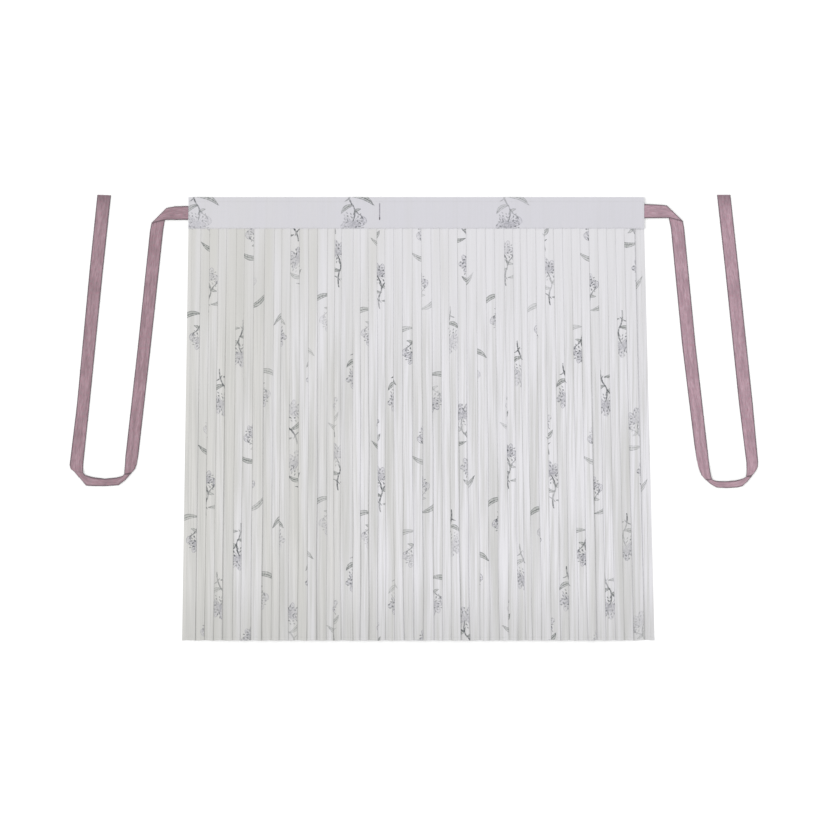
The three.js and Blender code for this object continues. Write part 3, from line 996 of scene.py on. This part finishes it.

# Each tie from the band to its free end, in millimetres: its edge on the outside of the bend, its edge on
# the inside, and how far apart its rows are laid. As shares: how much of the tape is turned under, and
# how much painted shade darkens a crease there.
tie_columns = ("outer_x", "outer_y", "inner_x", "inner_y", "under", "spacing", "crease_shade")
left_tie = [
    (-457.8, 429.5, -457.8, 401.5, 0.0, 6, 0.0),
    (-485.0, 428.6, -506.0, 401.3, 0.0, 4, 0.0),
    (-501.7, 425.5, -532.8, 394.4, 0.0, 4, 0.0),
    (-509.0, 380.0, -535.8, 378.0, 0.0, 12, 0.0),
    (-535.0, 138.0, -561.0, 138.0, 0.0, 12, 0.0),
    (-559.6, -78.0, -585.6, -80.0, 0.0, 4, 0.0),
    (-561.8, -92.0, -586.3, -95.0, 0.03, 2, 0.0),
    (-566.6, -104.5, -587.3, -107.5, 0.16, 2, 0.3),
    (-574.0, -112.8, -587.9, -115.2, 0.36, 2, 1.0),
    (-586.6, -127.2, -591.0, -118.3, 0.46, 2, 0.2),
    (-599.5, -137.0, -603.0, -121.6, 0.48, 3, 0.0),
    (-628.0, -138.7, -628.0, -124.0, 0.5, 3, 0.0),
    (-653.0, -138.5, -650.0, -121.2, 0.5, 2, 0.0),
    (-665.2, -137.8, -659.5, -118.8, 0.48, 2, 0.2),
    (-678.0, -122.8, -667.5, -116.6, 0.46, 2, 0.2),
    (-690.3, -108.6, -671.3, -112.0, 0.2, 2, 0.5),
    (-697.3, -103.4, -671.6, -103.0, 0.03, 2, 0.2),
    (-698.8, -96.0, -671.3, -95.0, 0.0, 6, 0.0),
    (-684.0, 26.0, -658.5, 27.0, 0.0, 12, 0.0),
    (-658.0, 302.0, -631.0, 302.0, 0.0, 12, 0.0),
    (-642.4, 452.3, -615.0, 451.2, 0.0, 6, 0.6),
]
right_tie = [
    (467.8, 433.4, 467.8, 404.8, 0.0, 6, 0.0),
    (495.0, 432.2, 520.0, 405.2, 0.0, 4, 0.0),
    (512.5, 430.8, 546.2, 398.1, 0.0, 4, 0.0),
    (522.0, 384.0, 549.0, 382.0, 0.0, 12, 0.0),
    (544.5, 150.0, 571.5, 150.0, 0.0, 12, 0.0),
    (570.0, -58.0, 595.6, -60.0, 0.0, 4, 0.0),
    (574.2, -86.3, 598.8, -90.0, 0.02, 2, 0.0),
    (580.0, -107.2, 601.2, -110.0, 0.1, 2, 0.2),
    (584.6, -117.0, 603.2, -119.2, 0.22, 2, 0.3),
    (592.7, -126.2, 605.4, -125.4, 0.38, 2, 0.8),
    (605.5, -136.6, 609.8, -127.6, 0.46, 2, 0.2),
    (614.5, -141.6, 616.5, -128.9, 0.48, 3, 0.0),
    (634.0, -142.6, 634.0, -129.3, 0.5, 3, 0.0),
    (656.0, -141.4, 653.0, -127.6, 0.5, 2, 0.0),
    (666.5, -138.9, 661.0, -125.8, 0.48, 2, 0.3),
    (676.0, -130.6, 669.0, -123.4, 0.45, 2, 0.3),
    (686.5, -117.6, 674.4, -120.0, 0.3, 2, 1.0),
    (693.5, -108.6, 675.4, -113.5, 0.12, 2, 0.3),
    (698.4, -100.2, 675.6, -105.0, 0.02, 2, 0.0),
    (698.8, -90.0, 675.2, -91.0, 0.0, 6, 0.0),
    (688.0, 26.0, 660.5, 26.0, 0.0, 12, 0.0),
    (659.0, 302.0, 632.0, 302.0, 0.0, 12, 0.0),
    (642.6, 452.2, 615.6, 452.2, 0.0, 6, 0.6),
]


def tape_row(outer, inner, under, rest, crease_shade):
    """One row of the tape from its outer to its inner edge, with the outer share turned under. Each point
    is X, Y, Z and how much painted shade darkens it at a crease."""
    doubled = min(1.0, under / doubled_from)
    soft = bend_softness * doubled
    full_reach = math.hypot(1 - under, soft) - soft
    row_points = []
    for share in numpy.linspace(0, 1, tape_columns):
        reach_across = (math.hypot(share - under, soft) - soft) / full_reach
        position = outer + (inner - outer) * reach_across
        over = 0.5 + 0.5 * math.tanh((share - under) / bend_spread) if doubled else 1.0
        height = rest + tape_layer_step * doubled * over + tape_crown * math.sin(math.pi * share)
        # Painted shade along the fold where the tape is turned under.
        fold_crease_shade = doubled * math.exp(-((share - under) / crease_shade_reach) ** 2)
        row_points.append((position.x, position.y, height, max(crease_shade, fold_crease_shade)))
    return row_points


def tape_rows(creases):
    """Every row of the tape, spaced as the table says, with the corner fold turned under itself."""
    table = [dict(zip(tie_columns, numbers)) for numbers in creases]
    for row in table:
        row["outer"] = Vector((row["outer_x"], row["outer_y"])) / 1000
        row["inner"] = Vector((row["inner_x"], row["inner_y"])) / 1000
    laid = []
    for index, (here, there) in enumerate(zip(table, table[1:])):
        span = (there["outer"] + there["inner"] - here["outer"] - here["inner"]).length / 2
        count = max(2, round(span * 1000 / here["spacing"]))
        rest = stub_height if index < corner_row else tape_rest
        for step in range(1 if index == corner_row else 0, count):
            share = step / count
            outer = here["outer"].lerp(there["outer"], share)
            inner = here["inner"].lerp(there["inner"], share)
            under = here["under"] + (there["under"] - here["under"]) * share
            crease_shade = here["crease_shade"] * max(0, 1 - 2 * share) + there["crease_shade"] * max(0, 2 * share - 1)
            laid.append(tape_row(outer, inner, under, rest, crease_shade))
        if index == corner_row - 1:
            fold_run = (there["inner"] - there["outer"]).normalized()
            away = Vector((-fold_run.y, fold_run.x))
            away *= math.copysign(1, away.y)
            for angle in (90, 45, 0, -45, -90):
                shift = away * corner_radius * (math.cos(math.radians(angle)) - 1)
                height = tape_rest + corner_radius * (1 + math.sin(math.radians(angle)))
                outer, inner = there["outer"] + shift, there["inner"] + shift
                # The folded corner gets painted crease shade.
                laid.append(tape_row(outer, inner, 0.0, height, corner_crease_shade))
    last = table[-1]
    laid.append(tape_row(last["outer"], last["inner"], 0.0, tape_rest, last["crease_shade"]))
    return numpy.array(laid)


def tape_finish(name, dark, light, deep):
    """Mauve slub tape, streaked along its length. Its edges are painted darker, partly their own colour
    and partly as shade, and its creases are painted darker as shade.
    """
    material, tree, shader = new_finish(name, roughness=0.82)
    shader.inputs["Specular IOR Level"].default_value = 0.3
    shader.inputs["Sheen Weight"].default_value = 0.1
    place = cut_place(tree, "tape_metres")
    along_tape_place, across_tape_place = split_place(tree, place)
    mottle = ease(tree, streaks(tree, place, 0.05, 0.006), 0.3, 0.7)
    ground = dye(tree, mottle, dark, light)
    slub = ease(tree, streaks(tree, place, 0.014, 0.0012, 3.0), 0.42, 0.72)
    ground = dye(tree, times(tree, slub, 0.75), ground, deep)
    red_fleck = ease(tree, streaks(tree, place, 0.006, 0.0011, 2.0), 0.5, 0.66)
    ground = dye(tree, times(tree, red_fleck, 0.5), ground, screen_colour(172, 112, 130))

    # Painted shade: darker along both edges, partly the edges' own colour and partly shade, and darker at
    # the creases, where shade falls.
    edge_starts, edge_full = 0.0105, 0.0132
    from_middle = calculate(tree, "ABSOLUTE", minus(tree, across_tape_place, tape_width / 2))
    edge_shade = ease(tree, from_middle, edge_starts, edge_full)
    crease_shade_mark = add_node(tree, "Attribute", {}, attribute_name="painted_crease_shade").outputs["Fac"]
    tape_shade = most(tree, [edge_shade, ease(tree, crease_shade_mark, 0.2, 1.0)])
    ground = dye(tree, times(tree, tape_shade, 0.95), ground, screen_colour(86, 73, 79))
    tree.links.new(ground, shader.inputs["Base Color"])

    warp_pitch, weft_pitch = 0.0007, 0.0009
    threads = [(across_tape_place, warp_pitch), (along_tape_place, weft_pitch)]
    rumples = streaks(tree, place, 0.02, 0.003, 3.0)
    weave_and_rumple(tree, shader, threads, (0.5, 0.00008), rumples, (0.6, 0.0005))
    return material


def add_tie(name, node, creases, tape, right_side):
    laid = tape_rows(creases)
    middle_line = laid[:, tape_columns // 2 :, :3].mean(axis=1)
    steps = numpy.linalg.norm(numpy.diff(middle_line, axis=0), axis=1)
    along_tape = numpy.concatenate([[0.0], numpy.cumsum(steps)])
    across_tape = numpy.linspace(0, tape_width, tape_columns)
    cut_places = numpy.stack(numpy.meshgrid(along_tape, across_tape, indexing="ij"), axis=2)
    if not right_side:
        laid, cut_places = laid[:, ::-1], cut_places[:, ::-1]
    tie, tie_column, tie_row = add_cloth_grid(name, laid[:, :, :3], cut_places, "tape_metres")
    # The crease marks hold painted shade for the tape's finish.
    tape_shade = tie.data.attributes.new("painted_crease_shade", "FLOAT", "POINT")
    tape_shade.data.foreach_set("value", laid[tie_column, tie_row, 3])
    body = tie.modifiers.new("tape_wall", "SOLIDIFY")
    body.thickness = tape_thickness
    body.offset = 0
    bpy.ops.object.modifier_apply(modifier=body.name)
    bpy.ops.object.shade_smooth_by_angle(angle=math.radians(50))
    tie.data.materials.append(tape)
    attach(tie, "root")
    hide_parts(node)


# One tape in two copies: the left tie's is painted darker and browner, as shade, and the right tie's
# lighter, as lit.
shaded_tape = tape_finish(
    "shaded_mauve_tape",
    dark=screen_colour(146, 125, 132),
    light=screen_colour(173, 147, 156),
    deep=screen_colour(122, 99, 107),
)
lit_tape = tape_finish(
    "lit_mauve_tape",
    dark=screen_colour(162, 138, 148),
    light=screen_colour(188, 160, 171),
    deep=screen_colour(136, 112, 122),
)
add_tie("tie_tape_left", "tie_left", left_tie, shaded_tape, right_side=False)
add_tie("tie_tape_right", "tie_right", right_tie, lit_tape, right_side=True)


# Table and light
# A plain white table top under an even pale surround, and one broad soft lamp low on the left,
# so that each fold has a thin soft shadow on its right.
table_size = 9.0
table_white = 0.98
surround_strength = 0.879
lamp_energy = 1.4
lamp_spread = 35
lamp_place = Vector((-2.9, 0.3, 1.7))

bpy.ops.object.select_all(action="DESELECT")
bpy.ops.mesh.primitive_plane_add(size=table_size)
table = bpy.context.object
table.name = "table_top"
table_finish, _, table_shader = new_finish("white_table", roughness=0.95)
table_shader.inputs["Base Color"].default_value = (table_white, table_white, table_white, 1.0)
table_shader.inputs["Specular IOR Level"].default_value = 0.0
table.data.materials.append(table_finish)

surround = bpy.data.worlds.new("pale_surround")
surround.use_nodes = True
surround_light = surround.node_tree.nodes["Background"]
surround_light.inputs["Color"].default_value = (1.0, 1.0, 1.0, 1.0)
surround_light.inputs["Strength"].default_value = surround_strength
bpy.context.scene.world = surround

bpy.ops.object.light_add(type="SUN", location=lamp_place)
soft_lamp = bpy.context.object
soft_lamp.name = "soft_lamp"
soft_lamp.data.energy = lamp_energy
soft_lamp.data.angle = math.radians(lamp_spread)
soft_lamp.rotation_euler = (-lamp_place).to_track_quat("-Z", "Y").to_euler()
bpy.context.scene.view_settings.view_transform = "Standard"
